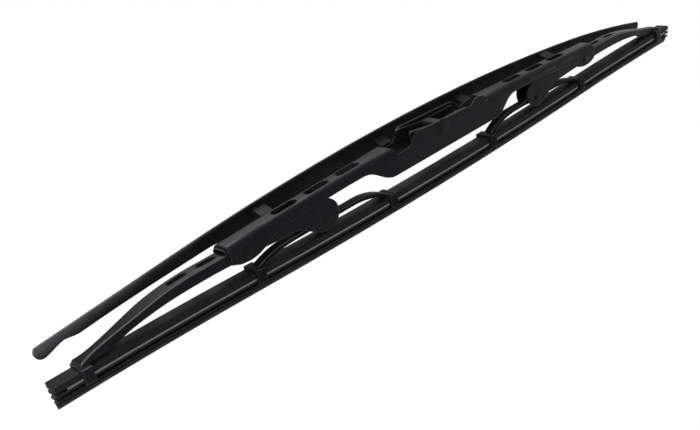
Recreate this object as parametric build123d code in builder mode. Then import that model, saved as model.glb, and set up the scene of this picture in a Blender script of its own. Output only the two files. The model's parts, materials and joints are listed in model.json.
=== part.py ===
from build123d import *
import math
import os

os.makedirs("parts", exist_ok=True)

# Bridge-frame wiper blade. The arm rivet crosses the origin, X runs along the blade,
# +Y points to the spoiler and +Z away from the glass.

# Relaxed bow of the rubber: one wide arc in the middle, a reversed arc to each tip
blade_length = 530.0
strip_drop = 29.1
bow_radius = 4200.0
bow_reach = 148.0
tip_radius = 2895.0

# Steel strips in the grooves of the rubber
strip_length = 519.0
strip_thick = 1.1
strip_width = 3.4
strip_proud = 0.3
strip_play = 0.05

# Section of the rubber, from its top flange down to the lip
flange_half = 4.6
top_flange = 3.0
web_gap = 0.2
lower_flange = 1.4
jaw_web_half = 1.6
base_half = 3.9
base_height = 1.2
neck_half = 0.7
neck_height = 1.0
shoulder_half = 2.2
shoulder_height = 0.8
lip_half = 0.45
lip_height = 2.8

# Claws that hold the rubber
claw_sheet = 1.0
claw_gap = 0.3
claw_length = 5.4
claw_round = 0.8
jaw_clear = 1.0
inner_claw_x = 46.4
outer_claw_x = 146.0
end_claw_x = 248.5

# Primary bridge: arched tube, open below
sheet = 1.2
primary_half = 7.0
roof_height = 2.7
roof_radius = 2956.0
roof_round = 4.2
tube_end = 162.0
mouth_depth = 7.0
mouth_over = 1.0
arm_depth = 6.7
arm_slope = 0.09
waist_drop = 4.1
roof_slot_length = 17.0
roof_slot_width = 5.5
roof_slot_pitch = 23.7
roof_slot_first = 75.0
roof_slot_shift = 3.5

# Saddle in the middle of the primary bridge: two side walls without a roof
saddle_half = 8.3
saddle_drop = 13.2
saddle_left = 43.0
saddle_right = 48.0
flare_length = 24.0
notch_left = 38.5
notch_right = 44.0
notch_drop = 2.0
notch_slope = 0.68
wall_foot = 0.6
near_wall_start = 10.0
near_wall_rake = 5.5
near_rise_left = 5.1
near_rise_right = 2.7
near_wall_round = 2.8
ear_start = 16.0
ear_rake = 4.5
ear_length = 7.0
ear_rise = 5.6
ear_edge = 1.0
ear_foot = 0.6
far_wall_start = 11.0
far_wall_rake = 5.5
far_wall_stop = 15.5
far_stop_rake = 5.0
far_rise_left = 6.1
far_rise_right = 4.2
far_wall_round = 5.0

# Joint between primary and secondary bridges
pivot_x = 151.0
pivot_drop = 9.3
lug_radius = 4.4
lug_reach = 24.0
bridge_pin_radius = 2.0
bridge_head_radius = 2.8
bridge_head_height = 0.6
bush_wall = 0.7
bush_length = 20.5
bush_proud = 1.5
bush_lift = 1.2

# Fits
seat_gap = 0.05
pin_fit = 0.05
bridge_side_gap = 0.25
yoke_side_gap = 0.2

# Straight rim of a rivet head as a share of its height, and how far cuts pass what they cut
head_rim = 0.35
cut_margin = 10.0

# Secondary bridges
lever_sheet = 1.0
lever_top_drop = 5.3
lever_round = 1.5
drop_start = 181.0
drop_radius = 150.0
drop_angle = 13.2
ridge_fall = 5.0
ridge_height = 4.6
ridge_slope = 0.25
narrow_start = 208.0
narrow_drop = 12.9
narrow_slope = 0.12
neck_x = 240.0
lever_neck_half = 2.9
flare_half = 5.2
flare_slope = 0.4
hood_start = 234.0
hood_slope = 0.6
hood_inset = 0.2
pad_radius = 8.85
pad_x = 95.65
inner_edge_x = 121.0
inner_edge_drop = 13.6
inner_edge_slope = 0.05
lug_tuck = 1.4
outer_arm_x = 175.0
outer_arm_drop = 11.6
lever_slot_length = 11.5
lever_slot_width = 3.4
lever_slot_x = (172.5, 190.5)

# Yokes
yoke_x = 96.5
yoke_drop = 17.5
yoke_sheet = 0.9
yoke_hump = 3.3
hump_reach = 13.0
yoke_rise = 0.8
yoke_flat = 26.0
yoke_inset = 0.8
yoke_land = 1.5
yoke_belly = 1.4
belly_flat = 21.0
yoke_round = 1.1
yoke_boss_radius = 3.9
yoke_pin_radius = 1.6
yoke_head_radius = 2.4
yoke_head_height = 0.6
yoke_bush_wall = 0.5
yoke_bush_half = 4.6
yoke_bush_gap = 0.8

# Arm rivet and adapter
arm_pin_radius = 2.5
arm_head_radius = 4.8
arm_head_height = 0.7
adapter_gap = 0.4
adapter_cheek = 1.9
adapter_left = 25.5
adapter_right = 26.0
adapter_top = 3.4
adapter_lift = 2.8
adapter_kink = 6.5
adapter_fall = 0.6
adapter_chin = 1.0
adapter_foot = 15.0
adapter_round = 2.0
adapter_bridge = 9.0
adapter_bridge_drop = 0.5
barrel_radius = 4.1
tongue_thick = 1.4
tongue_reach = 14.0
hook_room = 4.6

# Spoiler: the top line is straight to the left tip and turns tighter to the right tip
spoiler_left = 261.6
spoiler_right = 255.0
spoiler_apex_x = -10.0
spoiler_rise = 7.4
spoiler_radius = 1700.0
straight_reach = 80.0
turn_reach = 85.0
turn_radius = 800.0
wing_top_y = 14.6
wing_lean = 2.8
wing_height = 13.8
wing_thick = 1.6
wing_rim_lift = 0.3
wing_round = 0.55
wing_belly = 0.3
wing_mid_end = 138.0
wing_blend = 20.0
wing_arm_height = 8.7
wing_arm_slope = 0.06
wing_end_height = 6.9
wing_end_slope = 0.12
waist_height = 5.1
waist_reach = 16.0
waist_step = 8.4
tip_height = 7.6
tip_slope = 0.3
tip_round = 5.0
tip_shoulder = 4.7
tip_over = 1.0
wing_spare = 3.0
spoiler_lug_width = 8.5
spoiler_lug_thick = 2.0
spoiler_lug_slope = 3.2
spoiler_foot = 1.2
spoiler_foot_height = 5.0
arm_lug_x = (-125.0, 132.0)
arm_lug_drop = 2.0
saddle_lug_x = (-31.0, 42.0)
saddle_lug_drop = 0.4

# Values that follow from the ones above
half_length = blade_length / 2
cut_half = saddle_half + cut_margin
groove_half = strip_thick / 2 + strip_play
rubber_top = groove_half + top_flange
strip_outer = flange_half + strip_proud
strip_inner = strip_outer - strip_width
web_half = strip_inner - web_gap
flange_bottom = -groove_half - lower_flange
groove_bottom = flange_bottom - claw_sheet - 2 * claw_gap
base_bottom = groove_bottom - base_height
neck_bottom = base_bottom - neck_height
shoulder_bottom = neck_bottom - shoulder_height
lip_bottom = shoulder_bottom - lip_height
claw_inner = strip_outer + claw_gap
claw_outer = claw_inner + claw_sheet
plate_under = rubber_top + claw_gap
plate_top = plate_under + claw_sheet
jaw_top = flange_bottom - claw_gap
jaw_bottom = jaw_top - claw_sheet
jaw_reach = jaw_web_half + jaw_clear
bush_outer = sheet + seat_gap
bush_inner = bush_outer + bush_wall
lever_end = end_claw_x + claw_length / 2 - hood_inset
hollow_end = end_claw_x - claw_length / 2 + hood_inset
lever_half = primary_half - bush_inner - bridge_side_gap
yoke_bush_outer = lever_half - lever_sheet - seat_gap
yoke_bush_inner = yoke_bush_outer - yoke_bush_wall
yoke_half = yoke_bush_inner - yoke_side_gap
adapter_half = saddle_half - sheet - adapter_gap
adapter_drop = barrel_radius + hook_room + tongue_thick
lug_low = -pivot_drop - lug_radius
bow_turn = math.asin(bow_reach / bow_radius)
tip_center_x = bow_reach + tip_radius * math.sin(bow_turn)
tip_center_z = bow_radius * (1 - math.cos(bow_turn)) - tip_radius * math.cos(bow_turn)


def path_z(x):
    # height of the mid-plane of the strips at a place along the blade
    reach = abs(x)
    if reach <= bow_reach:
        return bow_radius - math.sqrt(bow_radius**2 - reach**2) - strip_drop
    return tip_center_z + math.sqrt(tip_radius**2 - (reach - tip_center_x) ** 2) - strip_drop


def path_slope(x):
    reach = abs(x)
    if reach <= bow_reach:
        slope = math.asin(reach / bow_radius)
    else:
        slope = math.asin((tip_center_x - reach) / tip_radius)
    return math.copysign(slope, x)


def path_section(x):
    # plane square to the bow: its first axis is Y, its second points away from the glass
    slope = path_slope(x)
    return Plane(origin=(x, 0, path_z(x)), x_dir=(0, 1, 0), z_dir=(math.cos(slope), 0, math.sin(slope)))


def roof_z(x, inset=0.0):
    center = roof_height - roof_radius
    return center + math.sqrt((roof_radius - inset) ** 2 - x**2)


def both_hands(points):
    return points + [(-y, h) for y, h in reversed(points)]


def write(piece, label):
    piece.part.label = label
    export_step(piece.part, f"parts/{label}.step")


def write_both_sides(piece, label):
    write(piece, f"right_{label}")
    with BuildPart() as other:
        add(piece.part)
        mirror(about=Plane.YZ, mode=Mode.REPLACE)
    write(other, f"left_{label}")


def sweep_along_bow(reach, outline):
    with BuildLine(Plane.XZ) as bow:
        middle = ThreePointArc(
            (-bow_reach, path_z(bow_reach)), (0, path_z(0)), (bow_reach, path_z(bow_reach))
        )
        bend = (bow_reach + reach) / 2
        ThreePointArc((-reach, path_z(reach)), (-bend, path_z(bend)), middle @ 0)
        ThreePointArc(middle @ 1, (bend, path_z(bend)), (reach, path_z(reach)))
    with BuildSketch(path_section(-reach)) as profile:
        with BuildLine():
            Polyline(*outline, close=True)
        make_face()
    sweep(profile.sketch, path=bow.wires()[0])


def long_top_edges(form):
    top = form.faces().sort_by(Axis.Z)[-1]
    return top.edges().filter_by(lambda edge: abs(edge.tangent_at(0.5).X) > 0.5)


def long_edges_above(form, floor):
    return form.edges().filter_by(
        lambda edge: abs(edge.tangent_at(0.5).X) > 0.5 and edge.center().Z > floor
    )


def add_claw(x):
    outline = both_hands(
        [
            (claw_outer, plate_top),
            (claw_outer, jaw_bottom),
            (jaw_reach, jaw_bottom),
            (jaw_reach, jaw_top),
            (claw_inner, jaw_top),
            (claw_inner, plate_under),
        ]
    )
    with BuildSketch(path_section(x)) as section:
        with BuildLine():
            Polyline(*outline, close=True)
        make_face()
        corners = section.vertices().filter_by(lambda v: abs(v.X) > (claw_inner + claw_outer) / 2)
        fillet(corners, claw_round)
    extrude(section.sketch, amount=claw_length / 2, both=True)


def pin_with_heads(x, z, shank, grip, head, height):
    # rivet along Y: straight shank, low domed head at each end
    rim = grip + height * head_rim
    with BuildSketch(Plane.XY.offset(z)) as half:
        with BuildLine():
            Polyline((x, -rim), (x + head, -rim), (x + head, -grip), (x + shank, -grip))
            Polyline((x + shank, -grip), (x + shank, grip), (x + head, grip), (x + head, rim), (x, rim))
            Line((x, rim), (x, -rim))
        make_face()
        with BuildLine():
            TangentArc((x, grip + height), (x + head, rim), tangent=(1, 0))
            Polyline((x + head, rim), (x, rim), (x, grip + height))
        make_face()
        with BuildLine():
            TangentArc((x, -grip - height), (x + head, -rim), tangent=(1, 0))
            Polyline((x + head, -rim), (x, -rim), (x, -grip - height))
        make_face()
    revolve(half.sketch, axis=Axis((x, 0, z), (0, 1, 0)))


def bore(x, z, radius):
    with BuildSketch(Plane.XZ) as hole:
        with Locations((x, z)):
            Circle(radius)
    extrude(hole.sketch, amount=cut_half, both=True, mode=Mode.SUBTRACT)


# Rubber element
section_half = [
    (flange_half, rubber_top),
    (flange_half, groove_half),
    (web_half, groove_half),
    (web_half, -groove_half),
    (flange_half, -groove_half),
    (flange_half, flange_bottom),
    (jaw_web_half, flange_bottom),
    (jaw_web_half, groove_bottom),
    (base_half, groove_bottom),
    (base_half, base_bottom),
    (neck_half, base_bottom),
    (neck_half, neck_bottom),
    (shoulder_half, neck_bottom),
    (shoulder_half, shoulder_bottom),
    (lip_half, lip_bottom),
]
with BuildPart() as wiper_rubber:
    sweep_along_bow(half_length, both_hands(section_half))
write(wiper_rubber, "wiper_rubber")

# Steel strips
for strip_name, hand in (("front_flexor_strip", -1), ("rear_flexor_strip", 1)):
    strip_outline = [
        (hand * strip_inner, strip_thick / 2),
        (hand * strip_outer, strip_thick / 2),
        (hand * strip_outer, -strip_thick / 2),
        (hand * strip_inner, -strip_thick / 2),
    ]
    with BuildPart() as flexor_strip:
        sweep_along_bow(strip_length / 2, strip_outline)
    write(flexor_strip, strip_name)


def primary_form(inset, reach):
    # solid under the arched roof, wider at the saddle, before it is trimmed below
    arm = primary_half - inset
    body = saddle_half - inset
    low = -saddle_drop - cut_margin
    end_z = roof_z(reach, inset)
    with BuildPart() as form:
        with BuildSketch(Plane.XY.offset(low - cut_margin)):
            with BuildLine() as edge:
                Line((-reach, -arm), (-saddle_left - flare_length, -arm))
                Spline(
                    (-saddle_left - flare_length, -arm), (-saddle_left, -body), tangents=[(1, 0), (1, 0)]
                )
                Line((-saddle_left, -body), (saddle_right, -body))
                Spline(
                    (saddle_right, -body), (saddle_right + flare_length, -arm), tangents=[(1, 0), (1, 0)]
                )
                Line((saddle_right + flare_length, -arm), (reach, -arm))
                mirror(about=Plane.XZ)
                Line((-reach, -arm), (-reach, arm))
                Line((reach, -arm), (reach, arm))
            make_face()
        extrude(amount=roof_height + cut_margin - low)
        with BuildSketch(Plane.XZ):
            with BuildLine():
                ThreePointArc((-reach, end_z), (0, roof_z(0, inset)), (reach, end_z))
                Polyline((reach, end_z), (reach, low), (-reach, low), (-reach, end_z))
            make_face()
        extrude(amount=cut_half, both=True, mode=Mode.INTERSECT)
        fillet(long_top_edges(form), roof_round - inset)
    return form.part


def primary_underside(side, saddle_edge):
    # lower edge of one half, from the middle of the saddle out to the tube end
    waist = saddle_edge + flare_length
    arm_x = pivot_x - lug_reach
    arm_z = roof_z(arm_x) - arm_depth
    mouth_x = tube_end + mouth_over
    mouth_z = roof_z(tube_end) - mouth_depth
    low = -saddle_drop - 2 * cut_margin
    with BuildSketch(Plane.XZ) as below:
        with BuildLine():
            Line((0, -saddle_drop), (side * saddle_edge, -saddle_drop))
            Spline(
                (side * saddle_edge, -saddle_drop),
                (side * waist, -waist_drop),
                tangents=[(side, 0), (side, 0)],
            )
            Spline(
                (side * waist, -waist_drop), (side * arm_x, arm_z), tangents=[(side, 0), (side, -arm_slope)]
            )
            Spline(
                (side * arm_x, arm_z), (side * pivot_x, lug_low), tangents=[(side, -arm_slope), (side, 0)]
            )
            Spline(
                (side * pivot_x, lug_low), (side * mouth_x, mouth_z), tangents=[(side, 0), (side, 2)]
            )
            Polyline(
                (side * mouth_x, mouth_z),
                (side * (tube_end + cut_margin), mouth_z),
                (side * (tube_end + cut_margin), low),
                (0, low),
                (0, -saddle_drop),
            )
        make_face()
    extrude(below.sketch, amount=cut_half, both=True, mode=Mode.SUBTRACT)


# Primary bridge
bridge_outside = primary_form(0, tube_end)
bridge_inside = primary_form(sheet, tube_end + cut_margin)
with BuildPart() as primary_bridge:
    add(bridge_outside)
    add(bridge_inside, mode=Mode.SUBTRACT)
    primary_underside(-1, saddle_left)
    primary_underside(1, saddle_right)
    # roof removed above the saddle
    notch_top = ear_rise + cut_margin
    with BuildSketch(Plane.XZ):
        with BuildLine():
            Polyline(
                (-notch_left - (notch_top + notch_drop) * notch_slope, notch_top),
                (-notch_left, -notch_drop),
                (notch_right - ear_start + ear_rake, -notch_drop),
                (notch_right, ear_foot),
                (notch_right + (notch_top - ear_foot) * notch_slope, notch_top),
                close=True,
            )
        make_face()
    extrude(amount=cut_half, both=True, mode=Mode.SUBTRACT)
    # side walls of the saddle: the near one ends in a raised ear, the far one stands higher
    foot_z = wall_foot - notch_drop
    near_left = near_wall_start - notch_left
    ear_left = notch_right - ear_start
    near_wall = [
        (near_left, foot_z),
        (near_left + near_wall_rake, near_rise_left),
        (ear_left, near_rise_right),
        (ear_left + ear_rake, ear_rise),
        (ear_left + ear_rake + ear_length, ear_rise),
        (notch_right - ear_edge, -notch_drop),
    ]
    far_left = far_wall_start - notch_left
    far_right = notch_right - far_wall_stop
    far_wall = [
        (far_left, foot_z),
        (far_left + far_wall_rake, far_rise_left),
        (far_right, far_rise_right),
        (far_right + far_stop_rake, -notch_drop - wall_foot),
    ]
    walls = ((-saddle_half, near_wall, near_wall_round), (saddle_half - sheet, far_wall, far_wall_round))
    for wall_y, wall_line, corner_round in walls:
        with BuildSketch(Plane.XZ.offset(-wall_y - sheet)) as wall_face:
            with BuildLine():
                Polyline(
                    (wall_line[-1][0], -saddle_drop / 2),
                    (-notch_left, -saddle_drop / 2),
                    (-notch_left, -notch_drop),
                    *wall_line,
                    close=True,
                )
            make_face()
            fillet(wall_face.vertices().filter_by(lambda v: v.Y > foot_z - wall_foot / 2), corner_round)
        extrude(amount=sheet)
    # oval holes along the roof of both arms
    with BuildSketch(Plane.XY.offset(roof_height)):
        for side in (-1, 1):
            for step in range(3):
                with Locations((side * (roof_slot_first + step * roof_slot_pitch) + roof_slot_shift, 0)):
                    SlotOverall(roof_slot_length, roof_slot_width)
    extrude(amount=-roof_height - saddle_drop, mode=Mode.SUBTRACT)
    bore(0, 0, arm_pin_radius + seat_gap)
    bore(-pivot_x, -pivot_drop, bridge_pin_radius + seat_gap)
    bore(pivot_x, -pivot_drop, bridge_pin_radius + seat_gap)
write(primary_bridge, "primary_bridge")

# Liner in the mouth of the primary bridge
liner_outside = primary_form(bush_outer, tube_end + bush_proud)
liner_inside = primary_form(bush_inner, tube_end + cut_margin)
with BuildPart() as bridge_bush:
    add(liner_outside)
    add(liner_inside, mode=Mode.SUBTRACT)
    with BuildSketch(Plane.XZ) as liner_side:
        with Locations((tube_end + bush_proud, lug_low + bush_lift)):
            Rectangle(bush_length, 2 * cut_margin, align=(Align.MAX, Align.MIN))
        fillet(liner_side.vertices().sort_by(Axis.Y)[:2], lug_radius)
    extrude(amount=cut_half, both=True, mode=Mode.INTERSECT)
    bore(pivot_x, -pivot_drop, bridge_pin_radius + seat_gap)
write_both_sides(bridge_bush, "bridge_bush")

with BuildPart() as bridge_rivet:
    pin_with_heads(
        pivot_x,
        -pivot_drop,
        bridge_pin_radius,
        primary_half + seat_gap,
        bridge_head_radius,
        bridge_head_height,
    )
write_both_sides(bridge_rivet, "bridge_rivet")


def lever_form(inset, reach, stop):
    # solid under the roof line of a secondary bridge
    turn = math.radians(drop_angle)
    radius = drop_radius - inset
    center_z = -lever_top_drop - drop_radius
    bend_x = drop_start + radius * math.sin(turn)
    bend_z = center_z + radius * math.cos(turn)
    half_bend_x = drop_start + radius * math.sin(turn / 2)
    half_bend_z = center_z + radius * math.cos(turn / 2)
    end_z = bend_z - (reach - bend_x) * math.tan(turn)
    start = pad_x - pad_radius - cut_margin
    low = -strip_drop
    with BuildPart() as form:
        with BuildSketch(Plane.XY.offset(low)):
            with BuildLine():
                Line((start, -lever_half + inset), (narrow_start, -lever_half + inset))
                Spline(
                    (narrow_start, -lever_half + inset),
                    (neck_x, -lever_neck_half + inset),
                    tangents=[(1, 0), (1, 0)],
                )
                Spline(
                    (neck_x, -lever_neck_half + inset),
                    (reach, -flare_half + inset),
                    tangents=[(1, 0), (1, -flare_slope)],
                )
                mirror(about=Plane.XZ)
                Line((start, -lever_half + inset), (start, lever_half - inset))
                Line((reach, -flare_half + inset), (reach, flare_half - inset))
            make_face()
        extrude(amount=strip_drop + cut_margin)
        with BuildSketch(Plane.XZ):
            with BuildLine():
                Line((start, -lever_top_drop - inset), (drop_start, -lever_top_drop - inset))
                ThreePointArc(
                    (drop_start, -lever_top_drop - inset), (half_bend_x, half_bend_z), (bend_x, bend_z)
                )
                Polyline(
                    (bend_x, bend_z),
                    (reach, end_z),
                    (reach, low - cut_margin),
                    (start, low - cut_margin),
                    (start, -lever_top_drop - inset),
                )
            make_face()
        extrude(amount=cut_half, both=True, mode=Mode.INTERSECT)
        fillet(long_edges_above(form, low + claw_length), lever_round - inset)
        split(bisect_by=Plane.YZ.offset(stop), keep=Keep.BOTTOM)
    return form.part


# Secondary bridge, made for the right side
lever_outside = lever_form(0, lever_end, lever_end)
lever_inside = lever_form(lever_sheet, lever_end + lever_sheet, hollow_end)
hood_floor = path_z(end_claw_x) + (plate_under + plate_top) / 2
ridge_x = lever_end - ridge_fall
ridge_z = hood_floor + ridge_height
with BuildPart() as secondary_bridge:
    add(lever_outside)
    add(lever_inside, mode=Mode.SUBTRACT)
    with BuildSketch(Plane.XZ):
        pad_top = (pad_x, cut_margin)
        pad_z = -lever_top_drop - pad_radius
        inner_edge = (inner_edge_x, -inner_edge_drop)
        lug_edge = (pivot_x, lug_low + lug_tuck)
        outer_edge = (outer_arm_x, -outer_arm_drop)
        narrow_edge = (narrow_start, -narrow_drop)
        hood_edge = (hood_start, hood_floor)
        with BuildLine():
            Line(pad_top, (pad_x, -lever_top_drop))
            ThreePointArc((pad_x, -lever_top_drop), (pad_x - pad_radius, pad_z), (pad_x, pad_z - pad_radius))
            Spline((pad_x, pad_z - pad_radius), inner_edge, tangents=[(1, 0), (1, inner_edge_slope)])
            Spline(inner_edge, lug_edge, tangents=[(1, inner_edge_slope), (1, 0)])
            Spline(lug_edge, outer_edge, tangents=[(1, 0), (1, 0)])
            Spline(outer_edge, narrow_edge, tangents=[(1, 0), (1, -narrow_slope)])
            Spline(narrow_edge, hood_edge, tangents=[(1, -narrow_slope), (1, -hood_slope)])
            Line(hood_edge, (lever_end, hood_floor))
            Spline(
                (lever_end, hood_floor), (ridge_x, ridge_z), tangents=[(-ridge_slope, 1), (-1, ridge_slope)]
            )
            Polyline((ridge_x, ridge_z), (ridge_x, cut_margin), pad_top)
        make_face()
    extrude(amount=cut_half, both=True, mode=Mode.INTERSECT)
    add_claw(end_claw_x)
    # oval holes in the roof of the outer arm
    with BuildSketch(Plane.XY):
        for slot_x in lever_slot_x:
            with Locations((slot_x, 0)):
                SlotOverall(lever_slot_length, lever_slot_width)
    extrude(amount=-outer_arm_drop, mode=Mode.SUBTRACT)
    bore(pivot_x, -pivot_drop, bridge_pin_radius + pin_fit)
    bore(yoke_x, -yoke_drop, yoke_pin_radius + seat_gap)
write_both_sides(secondary_bridge, "secondary_bridge")

# Yoke, drawn about its pivot; each arm comes down to the plate of its claw
yoke_plane = Plane(origin=(yoke_x, 0, -yoke_drop), x_dir=(1, 0, 0), z_dir=(0, -1, 0))
yoke_reach = (outer_claw_x - inner_claw_x) / 2 - yoke_inset
yoke_inner_end = path_z(inner_claw_x) + plate_under + yoke_drop
yoke_outer_end = path_z(outer_claw_x) + plate_under + yoke_drop


def falling_arc(side, start_x, start_z, end_x, end_z):
    # arc that leaves its start level and falls to its end
    run = end_x - start_x
    fall = start_z - end_z
    radius = (run**2 + fall**2) / (2 * fall)
    turn = math.asin(run / radius) / 2
    middle = (side * (start_x + radius * math.sin(turn)), start_z - radius * (1 - math.cos(turn)))
    ThreePointArc((side * start_x, start_z), middle, (side * end_x, end_z))


def yoke_form(inset, stop):
    top = yoke_rise - inset
    low = -strip_drop
    with BuildPart() as form:
        with BuildSketch(yoke_plane):
            with BuildLine():
                for side, end_z in ((-1, yoke_inner_end), (1, yoke_outer_end)):
                    tip_z = end_z + claw_sheet - inset
                    Spline(
                        (0, yoke_hump - inset), (side * hump_reach, top), tangents=[(side, 0), (side, 0)]
                    )
                    Line((side * hump_reach, top), (side * yoke_flat, top))
                    falling_arc(side, yoke_flat, top, yoke_reach, tip_z)
                    Line((side * yoke_reach, tip_z), (side * yoke_reach, low))
                Line((-yoke_reach, low), (yoke_reach, low))
            make_face()
        extrude(amount=yoke_half - inset, both=True)
        fillet(long_edges_above(form, low), yoke_round - inset)
        split(bisect_by=Plane.YZ.offset(yoke_x + stop), keep=Keep.BOTTOM)
        split(bisect_by=Plane.YZ.offset(yoke_x - stop), keep=Keep.TOP)
    return form.part


yoke_outside = yoke_form(0, yoke_reach)
yoke_inside = yoke_form(yoke_sheet, yoke_reach - claw_length)
with BuildPart() as yoke:
    add(yoke_outside)
    add(yoke_inside, mode=Mode.SUBTRACT)
    with BuildSketch(yoke_plane):
        with BuildLine():
            Line((-belly_flat, -yoke_belly), (belly_flat, -yoke_belly))
            for side, end_z in ((-1, yoke_inner_end), (1, yoke_outer_end)):
                falling_arc(side, belly_flat, -yoke_belly, yoke_reach - yoke_land, end_z)
                Polyline(
                    (side * (yoke_reach - yoke_land), end_z),
                    (side * (yoke_reach + cut_margin), end_z),
                    (side * (yoke_reach + cut_margin), yoke_hump + cut_margin),
                    (0, yoke_hump + cut_margin),
                )
        make_face()
        Circle(yoke_boss_radius)
    extrude(amount=cut_half, both=True, mode=Mode.INTERSECT)
    add_claw(inner_claw_x)
    add_claw(outer_claw_x)
    bore(yoke_x, -yoke_drop, yoke_pin_radius + pin_fit)
write_both_sides(yoke, "yoke")

# Liner between the pad of a secondary bridge and its yoke
with BuildPart() as yoke_bush:
    roof_under = yoke_hump + yoke_bush_gap
    with BuildSketch(yoke_plane):
        Circle(yoke_bush_half)
        with Locations((0, (roof_under + yoke_bush_wall) / 2)):
            Rectangle(2 * yoke_bush_half, roof_under + yoke_bush_wall)
    extrude(amount=yoke_bush_outer, both=True)
    with BuildSketch(yoke_plane):
        with Locations((0, roof_under)):
            Rectangle(4 * yoke_bush_half, 4 * yoke_bush_half, align=(Align.CENTER, Align.MAX))
    extrude(amount=yoke_bush_inner, both=True, mode=Mode.SUBTRACT)
    bore(yoke_x, -yoke_drop, yoke_pin_radius + seat_gap)
write_both_sides(yoke_bush, "yoke_bush")

with BuildPart() as yoke_rivet:
    pin_with_heads(
        yoke_x, -yoke_drop, yoke_pin_radius, lever_half + seat_gap, yoke_head_radius, yoke_head_height
    )
write_both_sides(yoke_rivet, "yoke_rivet")

# Rivet that carries the arm adapter
with BuildPart() as arm_rivet:
    pin_with_heads(0, 0, arm_pin_radius, saddle_half + seat_gap, arm_head_radius, arm_head_height)
write(arm_rivet, "arm_rivet")

# Hook adapter: two cheeks, a barrel on the rivet, an end bridge and a latch tongue
with BuildPart() as arm_adapter:
    with BuildSketch(Plane.XZ) as cheek:
        with BuildLine():
            Polyline(
                (-adapter_left, adapter_top + adapter_lift),
                (-adapter_kink, adapter_top),
                (adapter_right, adapter_top - adapter_fall),
                (adapter_right, -adapter_drop),
                (-adapter_foot, -adapter_drop),
                (-adapter_left, -adapter_chin),
                close=True,
            )
        make_face()
        fillet(cheek.vertices(), adapter_round)
    extrude(amount=adapter_half, both=True)
    with BuildSketch(Plane.XZ):
        Rectangle(4 * adapter_left, 4 * adapter_left)
        Circle(barrel_radius, mode=Mode.SUBTRACT)
        with Locations((adapter_right, -adapter_drop)):
            Rectangle(
                adapter_bridge,
                adapter_drop - adapter_bridge_drop,
                align=(Align.MAX, Align.MIN),
                mode=Mode.SUBTRACT,
            )
            Rectangle(
                adapter_right + tongue_reach, tongue_thick, align=(Align.MAX, Align.MIN), mode=Mode.SUBTRACT
            )
    extrude(amount=adapter_half - adapter_cheek, both=True, mode=Mode.SUBTRACT)
    bore(0, 0, arm_pin_radius + pin_fit)
write(arm_adapter, "arm_adapter")


def wing_arc_z(x):
    return spoiler_rise - spoiler_radius + math.sqrt(spoiler_radius**2 - (x - spoiler_apex_x) ** 2)


straight_x = straight_reach - spoiler_left
turn_x = spoiler_right - turn_reach
straight_slope = math.asin((spoiler_apex_x - straight_x) / spoiler_radius)
turn_slope = math.asin((turn_x - spoiler_apex_x) / spoiler_radius)
turn_center_x = turn_x - turn_radius * math.sin(turn_slope)
turn_center_z = wing_arc_z(turn_x) - turn_radius * math.cos(turn_slope)


def wing_z(x):
    # height of the top line of the wing
    if x < straight_x:
        return wing_arc_z(straight_x) + (x - straight_x) * math.tan(straight_slope)
    if x > turn_x:
        return turn_center_z + math.sqrt(turn_radius**2 - (x - turn_center_x) ** 2)
    return wing_arc_z(x)


def wing_point(x):
    return (x, wing_z(x))


def under_wing(x, depth):
    return (x, wing_z(x) - depth)


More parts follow.
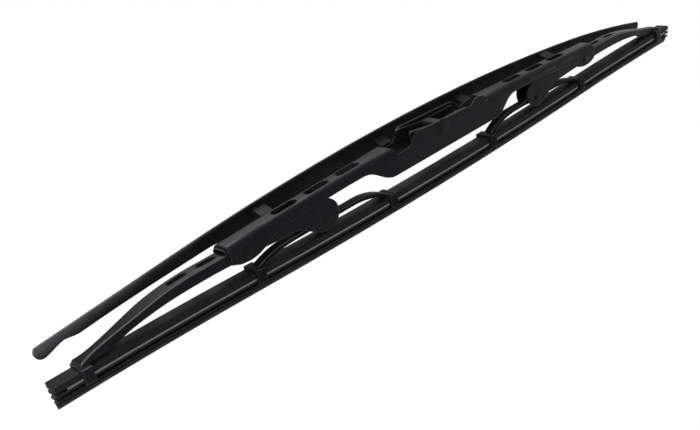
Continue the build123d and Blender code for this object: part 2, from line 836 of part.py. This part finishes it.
# Spoiler: leaning wing along its top line, deeper in the middle, with four lugs to the primary bridge
with BuildPart() as spoiler:
    path_left = -spoiler_left - wing_spare
    path_right = spoiler_right + wing_spare
    with BuildLine(Plane.XZ) as wing_path:
        Line(wing_point(path_left), wing_point(straight_x))
        ThreePointArc(wing_point(straight_x), wing_point(spoiler_apex_x), wing_point(turn_x))
        ThreePointArc(wing_point(turn_x), wing_point((turn_x + path_right) / 2), wing_point(path_right))
    end_plane = Plane(
        origin=(path_left, 0, wing_z(path_left)),
        x_dir=(0, 1, 0),
        z_dir=(math.cos(straight_slope), 0, math.sin(straight_slope)),
    )
    with BuildSketch(end_plane) as wing:
        near_top = (wing_top_y, 0)
        near_middle = (wing_top_y + wing_lean / 2 - wing_belly, -wing_height / 2)
        near_low = (wing_top_y + wing_lean, -wing_height)
        far_top, far_middle, far_low = [
            (y + wing_thick, z + wing_rim_lift) for y, z in (near_top, near_middle, near_low)
        ]
        with BuildLine():
            ThreePointArc(near_top, near_middle, near_low)
            Line(near_low, far_low)
            ThreePointArc(far_low, far_middle, far_top)
            Line(far_top, near_top)
        make_face()
        fillet(wing.vertices(), wing_round)
    sweep(path=wing_path.wires()[0])
    # lower edge of both arms and the rounded tips
    for side, tip_x in ((-1, spoiler_left), (1, spoiler_right)):
        waist_x = tip_x - waist_reach
        step_x = waist_x - waist_step
        shoulder_x = side * (tip_x - tip_shoulder)
        outer_x = side * (tip_x + wing_spare + cut_margin)
        middle_edge = under_wing(side * wing_mid_end, wing_height + tip_over)
        arm_edge = under_wing(side * (wing_mid_end + wing_blend), wing_arm_height)
        step_edge = under_wing(side * step_x, wing_end_height)
        waist_edge = under_wing(side * waist_x, waist_height)
        round_edge = under_wing(side * (tip_x - tip_round), tip_height)
        end_edge = under_wing(side * tip_x, tip_height / 2)
        shoulder_edge = under_wing(shoulder_x, -tip_over)
        with BuildSketch(Plane.XZ):
            with BuildLine():
                Spline(middle_edge, arm_edge, tangents=[(side, wing_end_slope), (side, -wing_arm_slope)])
                Spline(arm_edge, step_edge, tangents=[(side, -wing_arm_slope), (side, -wing_end_slope)])
                Spline(
                    step_edge, waist_edge, round_edge, tangents=[(side, -wing_end_slope), (side, -tip_slope)]
                )
                ThreePointArc(round_edge, end_edge, shoulder_edge)
                Polyline(
                    shoulder_edge,
                    under_wing(shoulder_x, -cut_margin),
                    (outer_x, spoiler_rise + cut_margin),
                    (outer_x, -strip_drop - cut_margin),
                    under_wing(side * wing_mid_end, wing_height + cut_margin),
                    middle_edge,
                )
            make_face()
        extrude(amount=wing_top_y + cut_half, both=True, mode=Mode.SUBTRACT)
    # lugs: a sloping tongue out to the wing and a foot on the wall of the bridge
    lugs = [(x, roof_z(x) - arm_lug_drop, primary_half + seat_gap) for x in arm_lug_x]
    lugs += [(x, -saddle_lug_drop, saddle_half + seat_gap) for x in saddle_lug_x]
    for lug_x, lug_z, wall_y in lugs:
        depth = wing_z(lug_x) - lug_z - spoiler_lug_slope + spoiler_lug_thick / 2
        end_y = wing_top_y + wing_lean * depth / wing_height + wing_thick / 2
        with BuildSketch(Plane.YZ.offset(lug_x)):
            with BuildLine():
                Polyline(
                    (wall_y, lug_z),
                    (end_y, lug_z + spoiler_lug_slope),
                    (end_y, lug_z + spoiler_lug_slope - spoiler_lug_thick),
                    (wall_y + spoiler_foot, lug_z - spoiler_lug_thick),
                    (wall_y + spoiler_foot, lug_z - spoiler_foot_height),
                    (wall_y, lug_z - spoiler_foot_height),
                    close=True,
                )
            make_face()
        extrude(amount=spoiler_lug_width / 2, both=True)
write(spoiler, "spoiler")
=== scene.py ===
import bpy
import json
import math
from mathutils import Matrix, Vector


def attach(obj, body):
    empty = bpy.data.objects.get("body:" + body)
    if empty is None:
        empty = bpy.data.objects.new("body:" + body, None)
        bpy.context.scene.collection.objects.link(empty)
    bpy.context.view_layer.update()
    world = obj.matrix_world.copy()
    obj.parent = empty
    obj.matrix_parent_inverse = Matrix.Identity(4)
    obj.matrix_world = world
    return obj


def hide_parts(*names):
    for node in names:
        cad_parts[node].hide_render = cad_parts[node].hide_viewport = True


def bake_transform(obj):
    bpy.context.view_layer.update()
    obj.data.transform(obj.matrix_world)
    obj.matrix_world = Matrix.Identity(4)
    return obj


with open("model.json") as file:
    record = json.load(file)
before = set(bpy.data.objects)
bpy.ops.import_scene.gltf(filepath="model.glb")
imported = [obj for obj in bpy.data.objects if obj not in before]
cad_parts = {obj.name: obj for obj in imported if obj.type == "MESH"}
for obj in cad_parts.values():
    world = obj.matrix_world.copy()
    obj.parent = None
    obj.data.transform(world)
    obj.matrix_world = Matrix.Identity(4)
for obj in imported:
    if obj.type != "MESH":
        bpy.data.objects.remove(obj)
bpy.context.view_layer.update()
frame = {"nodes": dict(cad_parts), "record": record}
nodes = frame["nodes"]
mm = 0.001
bpy.ops.object.select_all(action="DESELECT")
print("frame loaded:", len(nodes), "nodes")

noiseBand = (0.3, 0.7)  # most of a noise pattern's values lie in here
plainTint = (1.0, 1.0, 1.0)
coolTint = (0.95, 1.0, 1.07)
spoilerTint = (1.0, 0.98, 1.06)


# small helpers for shader trees
def grey(level, tint=plainTint):
    return (level * tint[0], level * tint[1], level * tint[2], 1.0)


def newMaterial(name):
    mat = bpy.data.materials.new(name)
    mat.use_nodes = True
    tree = mat.node_tree
    tree.nodes.clear()
    out = tree.nodes.new("ShaderNodeOutputMaterial")
    shader = tree.nodes.new("ShaderNodeBsdfPrincipled")
    tree.links.new(shader.outputs["BSDF"], out.inputs["Surface"])
    coords = tree.nodes.new("ShaderNodeTexCoord").outputs["Object"]
    return mat, tree, shader, coords


def stretched(tree, coords, scale):
    mapping = tree.nodes.new("ShaderNodeMapping")
    mapping.inputs["Scale"].default_value = scale
    tree.links.new(coords, mapping.inputs["Vector"])
    return mapping.outputs["Vector"]


def noise(tree, vector, scale, detail=3.0, rough=0.55):
    tex = tree.nodes.new("ShaderNodeTexNoise")
    tex.inputs["Scale"].default_value = scale
    tex.inputs["Detail"].default_value = detail
    tex.inputs["Roughness"].default_value = rough
    tree.links.new(vector, tex.inputs["Vector"])
    return tex.outputs["Fac"]


def clouded(tree, fac, levels, tint=plainTint):
    # tone between a dark and a light level over the noise
    node = tree.nodes.new("ShaderNodeValToRGB")
    for element, place, level in zip(node.color_ramp.elements, noiseBand, levels):
        element.position = place
        element.color = grey(level, tint)
    tree.links.new(fac, node.inputs["Fac"])
    return node.outputs["Color"]


def spread(tree, fac, results, band=(0.0, 1.0)):
    # the band of input values becomes the two results
    node = tree.nodes.new("ShaderNodeMapRange")
    node.inputs["From Min"].default_value = band[0]
    node.inputs["From Max"].default_value = band[1]
    node.inputs["To Min"].default_value = results[0]
    node.inputs["To Max"].default_value = results[1]
    tree.links.new(fac, node.inputs["Value"])
    return node.outputs["Result"]


def mixed(tree, fac, under, colour):
    node = tree.nodes.new("ShaderNodeMix")
    node.data_type = "RGBA"
    node.inputs["B"].default_value = colour
    tree.links.new(fac, node.inputs["Factor"])
    tree.links.new(under, node.inputs["A"])
    return node.outputs["Result"]


def computed(tree, operation, first, second=0.0):
    node = tree.nodes.new("ShaderNodeMath")
    node.operation = operation
    node.use_clamp = operation == "SUBTRACT"
    for socket, value in zip(node.inputs, (first, second)):
        if isinstance(value, float):
            socket.default_value = value
        else:
            tree.links.new(value, socket)
    return node.outputs[0]


def vectorMath(tree, operation, first, second=None):
    node = tree.nodes.new("ShaderNodeVectorMath")
    node.operation = operation
    tree.links.new(first, node.inputs[0])
    if isinstance(second, tuple):
        node.inputs[1].default_value = second
    elif second:
        tree.links.new(second, node.inputs[1])
    return node.outputs["Value" if operation in ("LENGTH", "DOT_PRODUCT") else "Vector"]


def softEdges(tree, radius, samples=6):
    # normal rounded over sharp edges, and a mask that is 1 along them
    edge = tree.nodes.new("ShaderNodeBevel")
    edge.samples = samples
    edge.inputs["Radius"].default_value = radius
    rounded = edge.outputs["Normal"]
    surface = tree.nodes.new("ShaderNodeNewGeometry").outputs["Normal"]
    turned = vectorMath(tree, "DOT_PRODUCT", rounded, surface)
    return rounded, spread(tree, turned, (1.0, 0.0), (0.72, 0.97))


def bumped(tree, shader, height, strength, depth, normal=None):
    node = tree.nodes.new("ShaderNodeBump")
    node.inputs["Strength"].default_value = strength
    node.inputs["Distance"].default_value = depth
    tree.links.new(height, node.inputs["Height"])
    if normal:
        tree.links.new(normal, node.inputs["Normal"])
    tree.links.new(node.outputs["Normal"], shader.inputs["Normal"])


# black coating on pressed steel: fine orange peel, cloudy gloss, a little dust, edges paler from wear
# and a painted highlight
coat = {
    "levels": (0.003, 0.006),
    "cloudScale": 38.0,
    "peelScale": 900.0,
    "peelStrength": 0.1,
    "peelDepth": 0.2 * mm,
    "drawnScale": (25.0, 260.0, 260.0),  # gloss is streaked along the blade
    "rough": (0.3, 0.46),
    "dustScale": 2600.0,
    "dustBand": (0.62, 0.8),
    "dustShare": 0.25,
    "dustLevel": 0.04,
    "edgeRadius": 0.35 * mm,
    "edgeShare": 0.7,
    "edgeWearAndHighlightLevel": 0.11,
    "softRadius": 1.6 * mm,  # the tube's corners look this much rounder
    "softSamples": 16,
    "sheenTint": (0.84, 0.93, 1.0, 1.0),
}
# painted highlight along the folds between a roof and its side walls
foldHighlight = {
    "lean": 0.7,  # how far a fold's face leans sideways
    "leanBand": (0.08, 0.22),
    "upBand": (0.2, 0.4),  # only faces that look up
    "level": 0.2,
}


def foldHighlightMask(tree):
    # painted highlight: 1 over the rounded folds between a roof and its side walls, where they face
    # up
    facing = tree.nodes.new("ShaderNodeSeparateXYZ")
    tree.links.new(tree.nodes.new("ShaderNodeTexCoord").outputs["Normal"], facing.inputs[0])
    sideways = computed(tree, "ABSOLUTE", facing.outputs["Y"])
    away = computed(tree, "ABSOLUTE", computed(tree, "ADD", sideways, -foldHighlight["lean"]))
    upward = spread(tree, facing.outputs["Z"], (0.0, 1.0), foldHighlight["upBand"])
    return computed(tree, "MULTIPLY", spread(tree, away, (1.0, 0.0), foldHighlight["leanBand"]), upward)


def bridgePaint(name, gloss, foldHighlightShare=0.0):
    mat, tree, shader, coords = newMaterial(name)
    cloud = noise(tree, coords, coat["cloudScale"], 4.0)
    dust = noise(tree, coords, coat["dustScale"], 2.0, 0.7)
    colour = clouded(tree, cloud, coat["levels"], coolTint)
    speck = spread(tree, dust, (0.0, coat["dustShare"]), coat["dustBand"])
    colour = mixed(tree, speck, colour, grey(coat["dustLevel"]))
    # edges paler: partly wear, partly a painted highlight
    edgeMask = softEdges(tree, coat["edgeRadius"])[1]
    edge = spread(tree, edgeMask, (0.0, coat["edgeShare"]))
    colour = mixed(tree, edge, colour, grey(coat["edgeWearAndHighlightLevel"], coolTint))
    # painted highlight on the folds
    if foldHighlightShare:
        paintedFoldHighlight = spread(tree, foldHighlightMask(tree), (0.0, foldHighlightShare))
        colour = mixed(tree, paintedFoldHighlight, colour, grey(foldHighlight["level"]))
    tree.links.new(colour, shader.inputs["Base Color"])
    drawn = noise(tree, stretched(tree, coords, coat["drawnScale"]), 1.0)
    tree.links.new(spread(tree, drawn, coat["rough"], noiseBand), shader.inputs["Roughness"])
    shader.inputs["Specular IOR Level"].default_value = gloss
    shader.inputs["Specular Tint"].default_value = coat["sheenTint"]
    normal = softEdges(tree, coat["softRadius"], coat["softSamples"])[0]
    peel = noise(tree, coords, coat["peelScale"], 2.0)
    bumped(tree, shader, peel, coat["peelStrength"], coat["peelDepth"], normal)
    return mat


rivetLook = {
    "levels": (0.003, 0.006),
    "cloudScale": 300.0,
    "rough": (0.3, 0.42),
    "gloss": 0.07,
    "edgeRadius": 0.25 * mm,
    "edgeShare": 0.3,
    "edgeWearAndHighlightLevel": 0.05,
    "peelScale": 1400.0,
    "peelStrength": 0.12,
    "peelDepth": 0.1 * mm,
}


def rivetPaint():
    mat, tree, shader, coords = newMaterial("rivetPaint")
    cloud = noise(tree, coords, rivetLook["cloudScale"])
    normal, edgeMask = softEdges(tree, rivetLook["edgeRadius"])
    # edges paler: partly wear, partly a painted highlight
    edge = spread(tree, edgeMask, (0.0, rivetLook["edgeShare"]))
    colour = clouded(tree, cloud, rivetLook["levels"], coolTint)
    colour = mixed(tree, edge, colour, grey(rivetLook["edgeWearAndHighlightLevel"]))
    tree.links.new(colour, shader.inputs["Base Color"])
    tree.links.new(spread(tree, cloud, rivetLook["rough"]), shader.inputs["Roughness"])
    shader.inputs["Specular IOR Level"].default_value = rivetLook["gloss"]
    peel = noise(tree, coords, rivetLook["peelScale"])
    bumped(tree, shader, peel, rivetLook["peelStrength"], rivetLook["peelDepth"], normal)
    return mat


# moulded plastic: fine spark-eroded grain with a soft cloudy tone
moulding = {
    "grainScale": 2200.0,
    "grainRough": 0.6,
    "grainStrength": 0.18,
    "grainDepth": 0.12 * mm,
    "cloudScale": 60.0,
    "edgeRadius": 0.3 * mm,
    "edgeShare": 0.3,
}
bushLook = {
    "levels": (0.004, 0.008),
    "tint": plainTint,
    "edgeWearAndHighlightLevel": 0.032,
    "rough": (0.4, 0.55),
    "gloss": 0.1,
}
adapterLook = {
    "levels": (0.003, 0.006),
    "tint": plainTint,
    "edgeWearAndHighlightLevel": 0.024,
    "rough": (0.38, 0.52),
    "gloss": 0.09,
}
spoilerLook = {
    "levels": (0.0035, 0.006),
    "tint": spoilerTint,
    "edgeWearAndHighlightLevel": 0.03,
    "rough": (0.42, 0.56),
    "gloss": 0.09,
    # level of the painted highlight on the top of the wing's left end
    "paintedTipHighlightLevel": 0.085,
}
# painted highlight: the top of the wing's left end is painted paler, where light falls on it
paintedTipHighlight = {
    "reach": (-140.0 * mm, -255.0 * mm),  # the painted highlight grows from here to the left tip
    "arcRadius": 1.7,  # the top line of the wing is an arc about this centre
    "arcCentre": (-10.0 * mm, 0.0, 7.4 * mm - 1.7),
    "depth": (1.5 * mm, 9.0 * mm),
    "strength": (0.15, 0.85),
    "patchy": (0.7, 1.15),
    "fade": 2.0,
}


def paintedTipHighlightMask(tree, coords, cloud):
    # painted highlight, strongest along the top line of the wing's long free end
    place = tree.nodes.new("ShaderNodeSeparateXYZ")
    tree.links.new(coords, place.inputs[0])
    tip = spread(tree, place.outputs["X"], (0.0, 1.0), paintedTipHighlight["reach"])
    fromCentre = vectorMath(tree, "SUBTRACT", coords, paintedTipHighlight["arcCentre"])
    inPlane = vectorMath(tree, "MULTIPLY", fromCentre, (1.0, 0.0, 1.0))
    below = computed(tree, "SUBTRACT", paintedTipHighlight["arcRadius"], vectorMath(tree, "LENGTH", inPlane))
    depth = spread(tree, tip, paintedTipHighlight["depth"])
    near = computed(tree, "SUBTRACT", 1.0, computed(tree, "DIVIDE", below, depth))
    faded = computed(tree, "POWER", near, paintedTipHighlight["fade"])
    paintedHighlight = computed(tree, "MULTIPLY", faded, spread(tree, tip, paintedTipHighlight["strength"]))
    return computed(tree, "MULTIPLY", paintedHighlight, spread(tree, cloud, paintedTipHighlight["patchy"], noiseBand))


def mouldedPlastic(name, look):
    mat, tree, shader, coords = newMaterial(name)
    grain = noise(tree, coords, moulding["grainScale"], rough=moulding["grainRough"])
    cloud = noise(tree, coords, moulding["cloudScale"])
    normal, edgeMask = softEdges(tree, moulding["edgeRadius"])
    colour = clouded(tree, cloud, look["levels"], look["tint"])
    # painted highlight along the top of the wing's left end
    if "paintedTipHighlightLevel" in look:
        paintedHighlight = paintedTipHighlightMask(tree, coords, cloud)
        colour = mixed(tree, paintedHighlight, colour, grey(look["paintedTipHighlightLevel"], look["tint"]))
    # edges paler: partly wear, partly a painted highlight
    edge = spread(tree, edgeMask, (0.0, moulding["edgeShare"]))
    colour = mixed(tree, edge, colour, grey(look["edgeWearAndHighlightLevel"]))
    tree.links.new(colour, shader.inputs["Base Color"])
    tree.links.new(spread(tree, grain, look["rough"], noiseBand), shader.inputs["Roughness"])
    shader.inputs["Specular IOR Level"].default_value = look["gloss"]
    bumped(tree, shader, grain, moulding["grainStrength"], moulding["grainDepth"], normal)
    return mat


# extruded rubber: faint lines along the length
rubberLook = {
    "levels": (0.005, 0.009),
    "cloudScale": 120.0,
    "lineScale": (6.0, 900.0, 900.0),
    "streakBand": (0.55, 0.8),
    "streakShare": 0.4,
    "streakLevel": 0.03,
    "rough": (0.5, 0.68),
    "gloss": 0.08,
    "lineStrength": 0.25,
    "lineDepth": 0.15 * mm,
}


def softRubber():
    mat, tree, shader, coords = newMaterial("softRubber")
    lines = noise(tree, stretched(tree, coords, rubberLook["lineScale"]), 1.0, 4.0)
    cloud = noise(tree, coords, rubberLook["cloudScale"], 4.0)
    streak = spread(tree, lines, (0.0, rubberLook["streakShare"]), rubberLook["streakBand"])
    colour = clouded(tree, cloud, rubberLook["levels"])
    colour = mixed(tree, streak, colour, grey(rubberLook["streakLevel"]))
    tree.links.new(colour, shader.inputs["Base Color"])
    tree.links.new(spread(tree, lines, rubberLook["rough"], noiseBand), shader.inputs["Roughness"])
    shader.inputs["Specular IOR Level"].default_value = rubberLook["gloss"]
    bumped(tree, shader, lines, rubberLook["lineStrength"], rubberLook["lineDepth"])
    return mat


# rolled spring steel, drawn lines along the length
stripLook = {
    "levels": (0.10, 0.17),
    "lineScale": (10.0, 1500.0, 1500.0),
    "rough": (0.28, 0.42),
    "lineStrength": 0.15,
    "lineDepth": 0.05 * mm,
}


def stripSteel():
    mat, tree, shader, coords = newMaterial("stripSteel")
    lines = noise(tree, stretched(tree, coords, stripLook["lineScale"]), 1.0, 4.0)
    tree.links.new(clouded(tree, lines, stripLook["levels"]), shader.inputs["Base Color"])
    tree.links.new(spread(tree, lines, stripLook["rough"]), shader.inputs["Roughness"])
    shader.inputs["Metallic"].default_value = 1.0
    bumped(tree, shader, lines, stripLook["lineStrength"], stripLook["lineDepth"])
    return mat


finishes = {
    "bridge_paint": bridgePaint("bridgePaint", gloss=0.08),
    "rivet_paint": rivetPaint(),
    "bush_plastic": mouldedPlastic("bushPlastic", bushLook),
    "adapter_plastic": mouldedPlastic("adapterPlastic", adapterLook),
    "spoiler_plastic": mouldedPlastic("spoilerPlastic", spoilerLook),
    "wiper_rubber": softRubber(),
    "strip_steel": stripSteel(),
}
ownCoats = {
    "_yoke": bridgePaint("shadedYokePaint", gloss=0.03, foldHighlightShare=0.3),  # duller copy of the paint, painted shade for the yokes low under the bridge, with a painted highlight on their folds
    # lever paint with a painted highlight on its folds
    "_secondary_bridge": bridgePaint("leverPaint", gloss=0.08, foldHighlightShare=0.4),
}
print("finishes made:", len(finishes) + len(ownCoats))

slotOf = {row["node"]: row["material_slot"] for row in frame["record"]["subparts"]}
for nodeName, obj in nodes.items():
    finish = finishes[slotOf[nodeName]]
    for ending, ownCoat in ownCoats.items():
        if nodeName.endswith(ending):
            finish = ownCoat
    obj.data.materials.clear()
    obj.data.materials.append(finish)
print("finishes on the nodes")

# rubber and strips bend with the levers, so each is cut where its hold changes
soft = {
    "rubberEdge": 0.22 * mm,  # rounding of the rubber's long edges
    "stripEdge": 0.12 * mm,
    "edgeSegments": 2,
    "edgeAngle": math.radians(40),
    "smoothAngle": math.radians(35),
    "weldGap": 0.002 * mm,
    "sliceStep": 2.5 * mm,  # spacing of the cross cuts along a stretch that spans two bodies
    "endHold": 238.0 * mm,  # outside this the end claw carries the stretch
    "yokeOuter": 153.0 * mm,  # between these two the yoke carries it
    "yokeInner": 42.0 * mm,
    "leverInner": 24.0 * mm,  # from here to the middle the bend dies out
}
# name, near end, far end (none: up to the tip), body it rides on, body at its far end if it bends
stretches = [
    ("outer", soft["endHold"], None, "lever", None),
    ("reach", soft["yokeOuter"], soft["endHold"], "rocker", "lever"),
    ("yoke", soft["yokeInner"], soft["yokeOuter"], "rocker", None),
    ("inner", soft["leverInner"], soft["yokeInner"], "lever", "rocker"),
    ("middle", 0.0, soft["leverInner"], "frame", "lever"),
]


def activate(obj):
    bpy.ops.object.select_all(action="DESELECT")
    bpy.context.view_layer.objects.active = obj
    obj.select_set(True)


def mergedCopy(nodeName, name):
    obj = bpy.data.objects.new(name, nodes[nodeName].data.copy())
    bpy.context.scene.collection.objects.link(obj)
    activate(obj)
    bpy.ops.mesh.customdata_custom_splitnormals_clear()
    bpy.ops.object.mode_set(mode="EDIT")
    bpy.ops.mesh.select_all(action="SELECT")
    bpy.ops.mesh.remove_doubles(threshold=soft["weldGap"])
    bpy.ops.object.mode_set(mode="OBJECT")
    return obj


def roundEdges(obj, width):
    activate(obj)
    mod = obj.modifiers.new("edgeRound", "BEVEL")
    mod.width = width
    mod.segments = soft["edgeSegments"]
    mod.limit_method = "ANGLE"
    mod.angle_limit = soft["edgeAngle"]
    mod.use_clamp_overlap = False
    bpy.ops.object.modifier_apply(modifier=mod.name)


def cutAcross(obj, x, keepLow=False, keepHigh=False):
    # plane cut square to the length, closed where one side goes
    activate(obj)
    bpy.ops.object.mode_set(mode="EDIT")
    bpy.ops.mesh.select_all(action="SELECT")
    bpy.ops.mesh.bisect(
        plane_co=(x, 0, 0),
        plane_no=(1, 0, 0),
        use_fill=keepLow or keepHigh,
        clear_inner=keepHigh,
        clear_outer=keepLow,
    )
    bpy.ops.object.mode_set(mode="OBJECT")


def cutStretches(nodeName, edge):
    whole = mergedCopy(nodeName, nodeName + "_whole")
    roundEdges(whole, edge)
    halfSpan = max(v.co.x for v in whole.data.vertices)
    made = []
    for side, hand in (("left", -1), ("right", 1)):
        names = {"frame": "frame", "lever": side + "_lever", "rocker": side + "_rocker"}
        for part, near, far, body, other in stretches:
            piece = bpy.data.objects.new(f"{nodeName}_{side}_{part}", whole.data.copy())
            bpy.context.scene.collection.objects.link(piece)
            low, high = sorted((hand * near, hand * (far or halfSpan)))
            if far or hand > 0:
                cutAcross(piece, low, keepHigh=True)
            if far or hand < 0:
                cutAcross(piece, high, keepLow=True)
            slices = int((high - low) / soft["sliceStep"]) if other else 1
            for step in range(1, slices):
                cutAcross(piece, low + (high - low) * step / slices)
            activate(piece)
            bpy.ops.object.shade_smooth_by_angle(angle=soft["smoothAngle"])
            if other:
                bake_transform(piece)
            else:
                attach(piece, names[body])
            made.append(piece)
    bpy.data.objects.remove(whole)
    for piece in made:
        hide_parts(nodeName)
    print(nodeName, "cut in", len(made), "stretches")


cutStretches("wiper_rubber", soft["rubberEdge"])
cutStretches("front_flexor_strip", soft["stripEdge"])
cutStretches("rear_flexor_strip", soft["stripEdge"])

# plain studio: white floor and sky, three soft lamps
studio = {
    "floorDrop": -0.42,
    "floorSize": 12.0,
    "floorLevel": 0.9,
    "floorWhite": 0.985,  # the rest of the floor's tone is left for shadow
    "worldLevel": 0.45,
}
lamps = {
    "keyLamp": {"place": (0.32, 0.68, 0.98), "aim": (0.0, 0.0, 0.0), "size": 0.7, "power": 12.0},
    "topLamp": {"place": (-0.15, -0.03, 1.3), "aim": (0.0, 0.0, 0.0), "size": 0.25, "power": 4.5},
    "fillLamp": {"place": (-0.75, -0.35, 0.3), "aim": (-0.22, 0.0, -0.02), "size": 0.4, "power": 5.0},
}


def whiteForCamera(tree, surface, white, share):
    # the background shows white to the camera and in reflections
    path = tree.nodes.new("ShaderNodeLightPath").outputs
    seen = computed(tree, "MAXIMUM", path["Is Camera Ray"], path["Is Glossy Ray"])
    seen = computed(tree, "MAXIMUM", seen, path["Is Transmission Ray"])
    mix = tree.nodes.new("ShaderNodeMixShader")
    tree.links.new(computed(tree, "MULTIPLY", seen, share), mix.inputs[0])
    tree.links.new(surface, mix.inputs[1])
    tree.links.new(white, mix.inputs[2])
    return mix.outputs[0]


def makeFloor():
    bpy.ops.object.select_all(action="DESELECT")
    bpy.ops.mesh.primitive_plane_add(size=studio["floorSize"], location=(0, 0, studio["floorDrop"]))
    floor = bpy.context.object
    floor.name = "studioFloor"
    mat = bpy.data.materials.new("studioFloor")
    mat.use_nodes = True
    tree = mat.node_tree
    tree.nodes.clear()
    out = tree.nodes.new("ShaderNodeOutputMaterial")
    paper = tree.nodes.new("ShaderNodeBsdfDiffuse")
    paper.inputs["Color"].default_value = grey(studio["floorLevel"])
    glow = tree.nodes.new("ShaderNodeEmission")
    surface = whiteForCamera(tree, paper.outputs[0], glow.outputs[0], studio["floorWhite"])
    tree.links.new(surface, out.inputs["Surface"])
    floor.data.materials.append(mat)


def makeWorld():
    world = bpy.data.worlds.new("studioWorld")
    bpy.context.scene.world = world
    world.use_nodes = True
    tree = world.node_tree
    tree.nodes.clear()
    out = tree.nodes.new("ShaderNodeOutputWorld")
    dim = tree.nodes.new("ShaderNodeBackground")
    dim.inputs["Color"].default_value = grey(1.0)
    dim.inputs["Strength"].default_value = studio["worldLevel"]
    white = tree.nodes.new("ShaderNodeBackground")
    white.inputs["Color"].default_value = grey(1.0)
    surface = whiteForCamera(tree, dim.outputs[0], white.outputs[0], 1.0)
    tree.links.new(surface, out.inputs["Surface"])


def makeLamp(name, lamp):
    light = bpy.data.lights.new(name, "AREA")
    light.shape = "DISK"
    light.size = lamp["size"]
    light.energy = lamp["power"]
    obj = bpy.data.objects.new(name, light)
    bpy.context.scene.collection.objects.link(obj)
    obj.location = lamp["place"]
    aim = Vector(lamp["aim"]) - Vector(lamp["place"])
    obj.rotation_euler = aim.to_track_quat("-Z", "Y").to_euler()


makeFloor()
makeWorld()
for lampName, lamp in lamps.items():
    makeLamp(lampName, lamp)
print("studio lit with", len(lamps), "lamps")

# camera at the photograph's angle
eye = {
    "place": (-376.48 * mm, -372.20 * mm, 190.49 * mm),
    "forward": (0.57241, 0.71004, -0.41011),
    "right": (0.70528, -0.68146, -0.19544),
    "lens": 48.05,
    "sensorWidth": 36.0,
    "clipStart": 0.01,
}
forward = Vector(eye["forward"]).normalized()
right = Vector(eye["right"]).normalized()
up = right.cross(forward)
turn = Matrix((right, up, -forward)).transposed()
lens = bpy.data.cameras.new("photoCamera")
lens.lens = eye["lens"]
lens.sensor_width = eye["sensorWidth"]
lens.clip_start = eye["clipStart"]
camera = bpy.data.objects.new("photoCamera", lens)
bpy.context.scene.collection.objects.link(camera)
camera.matrix_world = Matrix.Translation(eye["place"]) @ turn.to_4x4()
bpy.context.scene.camera = camera
bpy.context.scene.view_settings.view_transform = "Standard"
print("camera set")
